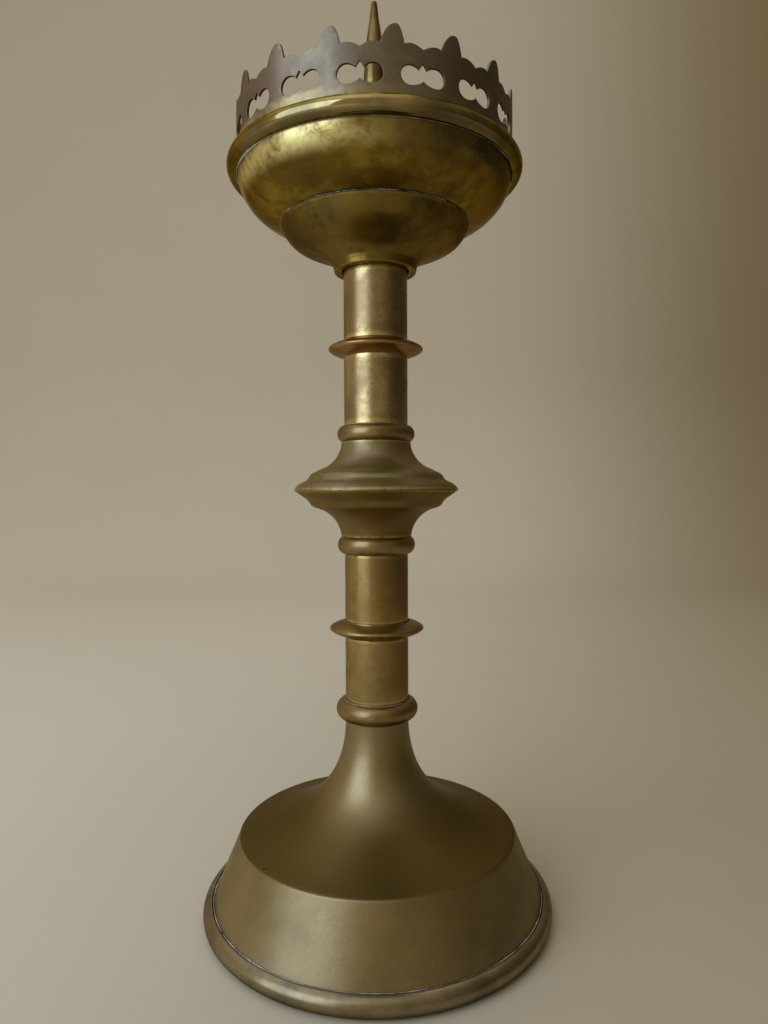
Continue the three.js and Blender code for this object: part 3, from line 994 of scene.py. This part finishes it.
def make_crown():
    outer = radius("crown")
    middle = outer - CROWN_SHEET / 2
    length = 2 * math.pi * outer
    pitch = length / REPEATS
    first = -(REPEATS // 2) + 1
    start = (first - 0.5) * pitch + LEAF_LEAN
    bm = flat_strip(crown_loops(start, first, pitch, length))
    cuts = REPEATS * CUTS_PER_REPEAT
    for i in range(1, cuts):
        geometry = [*bm.verts, *bm.edges, *bm.faces]
        x = start + length * i / cuts
        bmesh.ops.bisect_plane(bm, geom=geometry, plane_co=(x, 0, 0), plane_no=(1, 0, 0), dist=0.0005)
    along_layer = with_values(bm).verts.layers.float["along"]
    for vert in bm.verts:
        x, z, out = vert.co
        vert[along_layer] = z
        vert.co = round_place(middle + out, x / outer + CROWN_TURN, z) * MM
    dress(finish_mesh("crown_pierced", bm, STAND, "crown"), "crown")


# Rod, nut and washer under the foot

def thread_radius(turns, height):
    """Radius of the thread's flank at a height, where turns is the part of a turn."""
    phase = (height / THREAD_PITCH - turns) % 1
    return ROD_RADIUS - THREAD_DEPTH * (1 - abs(2 * phase - 1))


def make_rod():
    """Rod with a thread at its lower end, and both ends turned off."""
    bottom, top = low("tie_rod"), high("tie_rod")
    threaded = bottom + THREADED_LENGTH
    runout, bottom_chamfer, top_chamfer = 0.5, 0.7, 0.6
    sides, rows_per_turn = 48, 8
    rows = []
    height = bottom
    while height < threaded:
        rows.append(height)
        height += THREAD_PITCH / rows_per_turn
    rows += [threaded, threaded + runout, top - top_chamfer, top]
    bm = with_values(bmesh.new())
    rings = []
    for height in rows:
        from_below = ROD_RADIUS - bottom_chamfer + (height - bottom)
        from_above = ROD_RADIUS - top_chamfer + (top - height)
        ring = []
        for k in range(sides):
            if height < threaded:
                out = thread_radius(k / sides, height)
            else:
                out = ROD_RADIUS - (THREAD_DEPTH if height == threaded else 0)
            out = min(out, from_below, from_above)
            ring.append(bm.verts.new(round_place(out, 2 * math.pi * k / sides, height) * MM))
        rings.append(ring)
    join_rings(bm, rings, closed=False)
    bm.faces.new(rings[0])
    bm.faces.new(rings[-1])
    dress(finish_mesh("threaded_rod", bm, STAND, "tie_rod", sharp=50), "steel")


def make_nut():
    """Hexagon nut, with its corners turned off and a countersunk bore."""
    bottom, top = low("foot_nut"), high("foot_nut")
    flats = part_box("foot_nut")[1].y / MM
    countersink, chamfer_slope = 0.55, 2.4
    sides = 96
    chamfer = [(rise, flats + rise * chamfer_slope) for rise in (0.08, 0.16, 0.24, 0.32, 0.4, 0.48)]
    levels = [
        (bottom + countersink, THREAD_BORE),
        (bottom, THREAD_BORE + countersink),
        (bottom, flats),
        *[(bottom + rise, limit) for rise, limit in chamfer],
        *[(top - rise, limit) for rise, limit in reversed(chamfer)],
        (top, flats),
        (top, THREAD_BORE + countersink),
        (top - countersink, THREAD_BORE),
    ]

    def hexagon(angle):
        sector = math.radians(60)
        offset = (angle + sector / 2) % sector - sector / 2
        return flats / math.cos(offset)

    bm = with_values(bmesh.new())
    rings = []
    for height, limit in levels:
        ring = []
        for k in range(sides):
            angle = 2 * math.pi * k / sides
            ring.append(bm.verts.new(round_place(min(hexagon(angle), limit), angle, height) * MM))
        rings.append(ring)
    join_rings(bm, rings)
    dress(finish_mesh("hexagon_nut", bm, NUT, "foot_nut", sharp=25), "steel")


def make_washer():
    """Wide washer whose edge follows the trumpet's flare."""
    bottom, top = low("foot_washer"), high("foot_washer")
    lower = radius("foot_washer")
    upper = lower - 2.55
    outline = [
        (ROD_HOLE, bottom, 0.3),
        (lower, bottom, 0.3),
        (upper, top, 0.3),
        (ROD_HOLE, top, 0.3),
    ]
    dress(lathe("wide_washer", outline, WASHER, "foot_washer"), "trim")


# Dried polish in the joints: a thin bead that swells and fades

def residue(name, joint, size, seed, cover=0.5, thick_at=None):
    """joint is the (radius, height) of the corner, and cover how much of the way round it shows.

    thick_at is a place where it is thicker: its angle and half width, in degrees, and how much.
    """
    sides, section = 256, 6
    least = 0.02
    bm = with_values(bmesh.new())
    rings = []
    for k in range(sides):
        angle = 2 * math.pi * k / sides
        spot = Vector((math.sin(angle) * 2.2, math.cos(angle) * 2.2, seed * 7.3))
        swell = noise.noise(spot) * 0.6 + noise.noise(spot * 5) * 0.5 + noise.noise(spot * 14) * 0.35
        amount = size * min(1.0, max(0.0, cover + swell))
        if thick_at:
            centre, half_width, extra = thick_at
            away = (math.degrees(angle) - centre + 180) % 360 - 180
            amount += extra * math.exp(-(away / half_width) ** 2)
        amount = max(amount, least)
        ring = []
        for s in range(section):
            around = 2 * math.pi * s / section
            out = joint[0] + amount * math.cos(around)
            up = joint[1] + amount * math.sin(around)
            ring.append(bm.verts.new(round_place(out, angle, up) * MM))
        rings.append(ring)
    join_rings(bm, rings)
    dress(finish_mesh(name, bm, STAND, sharp=180), "residue")


def make_residue():
    on_tube, in_groove = TUBE_RADIUS + 0.05, TUBE_RADIUS + 0.3
    residue("residue_foot", (72.1, 8.2), 0.34, 1, cover=0.36)
    residue("residue_foot_collar", (in_groove, high("foot_collar") - 4.25), 0.24, 3, cover=0.6)
    residue("residue_lower_ring", (in_groove, high("lower_ring") - 4.55), 0.24, 2)
    residue("residue_upper_ring", (on_tube, low("upper_ring") + 3.95), 0.16, 4, cover=0.4)
    residue("residue_knop_above", (on_tube, high("knop_upper_collar") - 3.95), 0.16, 5, cover=0.3)
    residue("residue_knop_below", (on_tube, low("knop_lower_collar") + 3.95), 0.14, 6, cover=0.3)
    residue("residue_cup", (41.3, 299.75), 0.2, 7, cover=0.36)
    residue("residue_bead", (59.35, low("rim_bead") + 0.05), 0.2, 8, cover=0.45, thick_at=(302, 11, 0.5))


# Stage, light and camera

def paper(name):
    """Pale paper that turns browner and dimmer to the right: painted shade."""
    left, right, fleck = colour(0.76, 0.7, 0.57), colour(0.36, 0.285, 0.16), colour(0.5, 0.45, 0.36)
    shade_start, shade_end, back_share = -0.4, 0.5, 0.4
    material = bpy.data.materials.new(name)
    n = Nodes(material)
    place = n.object_place()
    back = n.math("MAXIMUM", n.part(place, "y"), 0.0)
    away = n.math("SUBTRACT", n.part(place, "x"), n.times(back, back_share))
    # Painted shade: the paper turns darker to the right
    tone = n.mix(n.step(away, shade_start, shade_end), left, right)
    grain = n.step(n.noise(place, 3.0), 0.35, 0.65, 0.0, 0.05)
    tone = n.mix(grain, tone, fleck)
    shader = n.add("ShaderNodeBsdfPrincipled", {"Base Color": tone, "Roughness": 0.9})
    n.add("ShaderNodeOutputMaterial", {0: shader}, out=None)
    return material


def make_stage():
    """Floor that curves up to a wall behind the object."""
    half_width, front, back, curve, top = 1.3, -1.3, 1.0, 0.5, 2.0
    steps = 12
    outline = [(front, 0.0)]
    for i in range(steps + 1):
        angle = math.radians(-90 + 90 * i / steps)
        outline.append((back + curve * math.cos(angle), curve + curve * math.sin(angle)))
    outline.append((back + curve, top))
    verts = [(side * half_width, y, z) for y, z in outline for side in (-1, 1)]
    faces = [(2 * i, 2 * i + 1, 2 * i + 3, 2 * i + 2) for i in range(len(outline) - 1)]
    mesh = bpy.data.meshes.new("studio_floor")
    mesh.from_pydata(verts, [], faces)
    mesh.polygons.foreach_set("use_smooth", [True] * len(faces))
    floor = bpy.data.objects.new("studio_floor", mesh)
    bpy.context.scene.collection.objects.link(floor)
    floor.data.materials.append(paper("studio_floor_look"))


def lamp(name, azimuth, elevation, distance, width, height, power, tone):
    """Soft rectangular lamp. Azimuth 0 is in front and 90 to the right, in degrees."""
    data = bpy.data.lights.new(name, "AREA")
    data.shape = "RECTANGLE"
    data.size, data.size_y = width, height
    data.energy = power
    data.color = tone
    target = Vector((0, 0, 0.2))
    a, e = math.radians(azimuth), math.radians(elevation)
    away = Vector((math.sin(a) * math.cos(e), -math.cos(a) * math.cos(e), math.sin(e)))
    light = bpy.data.objects.new(name, data)
    light.location = target + away * distance
    light.rotation_mode = "QUATERNION"
    light.rotation_quaternion = away.to_track_quat("Z", "Y")
    bpy.context.scene.collection.objects.link(light)


def make_lamps():
    lamp(
        "window_left", azimuth=-49, elevation=20, distance=1.3, width=1.0, height=1.2, power=9.5,
        tone=(0.64, 0.79, 1.0),
    )
    lamp(
        "soft_top", azimuth=170, elevation=74, distance=2.2, width=0.9, height=0.9, power=2.0,
        tone=(1.0, 0.98, 0.92),
    )


def make_room():
    """Warm dim room, darker to the right, under a cooler ceiling."""
    left, middle, right_drop, ceiling_gain = 0.4, 0.32, 0.26, 0.7
    walls_tone, ceiling_tone = colour(1.0, 0.82, 0.56), colour(0.86, 0.93, 1.0)
    world = bpy.data.worlds.new("studio")
    bpy.context.scene.world = world
    n = Nodes(world)
    direction = n.add("ShaderNodeTexCoord", out=0)
    side, up = n.part(direction, "x"), n.part(direction, "z")
    walls = n.step(side, -0.9, 0.2, left, middle)
    walls = n.math("SUBTRACT", walls, n.step(side, 0.2, 1.0, 0.0, right_drop))
    ceiling = n.times(n.step(up, 0.5, 0.95), n.step(side, 0.5, -0.3))
    strength = n.math("ADD", walls, n.times(ceiling, ceiling_gain))
    tone = n.mix(ceiling, walls_tone, ceiling_tone)
    background = n.add("ShaderNodeBackground", {0: tone, 1: strength})
    n.add("ShaderNodeOutputWorld", {0: background}, out=None)


def make_camera():
    """The photograph's camera: close, wide and level with the knop."""
    place = Vector((3.4, -320.4, 185.3))
    pitch, roll = math.radians(1.8), math.radians(0.23)
    forward = Vector((0, math.cos(pitch), -math.sin(pitch)))
    up = Vector((0, math.sin(pitch), math.cos(pitch)))
    right = Vector((1, 0, 0))
    turned_right = right * math.cos(roll) - up * math.sin(roll)
    turned_up = right * math.sin(roll) + up * math.cos(roll)
    data = bpy.data.cameras.new("camera")
    data.lens = 25.4
    data.sensor_width = 36
    data.clip_start = 0.01
    camera = bpy.data.objects.new("camera", data)
    axes = Matrix((turned_right, turned_up, -forward)).transposed().to_4x4()
    camera.matrix_world = Matrix.Translation(place * MM) @ axes
    bpy.context.scene.collection.objects.link(camera)
    bpy.context.scene.camera = camera


# Everything in its order

make_foot()
make_foot_ring()
make_stem()
make_cup()
make_bowl()
make_bead()
make_pan_washer()
make_pan_spacer()
make_pricket()
make_crown()
make_rod()
make_nut()
make_washer()
make_residue()
make_stage()
make_lamps()
make_room()
make_camera()
bpy.context.scene.view_settings.view_transform = "Standard"
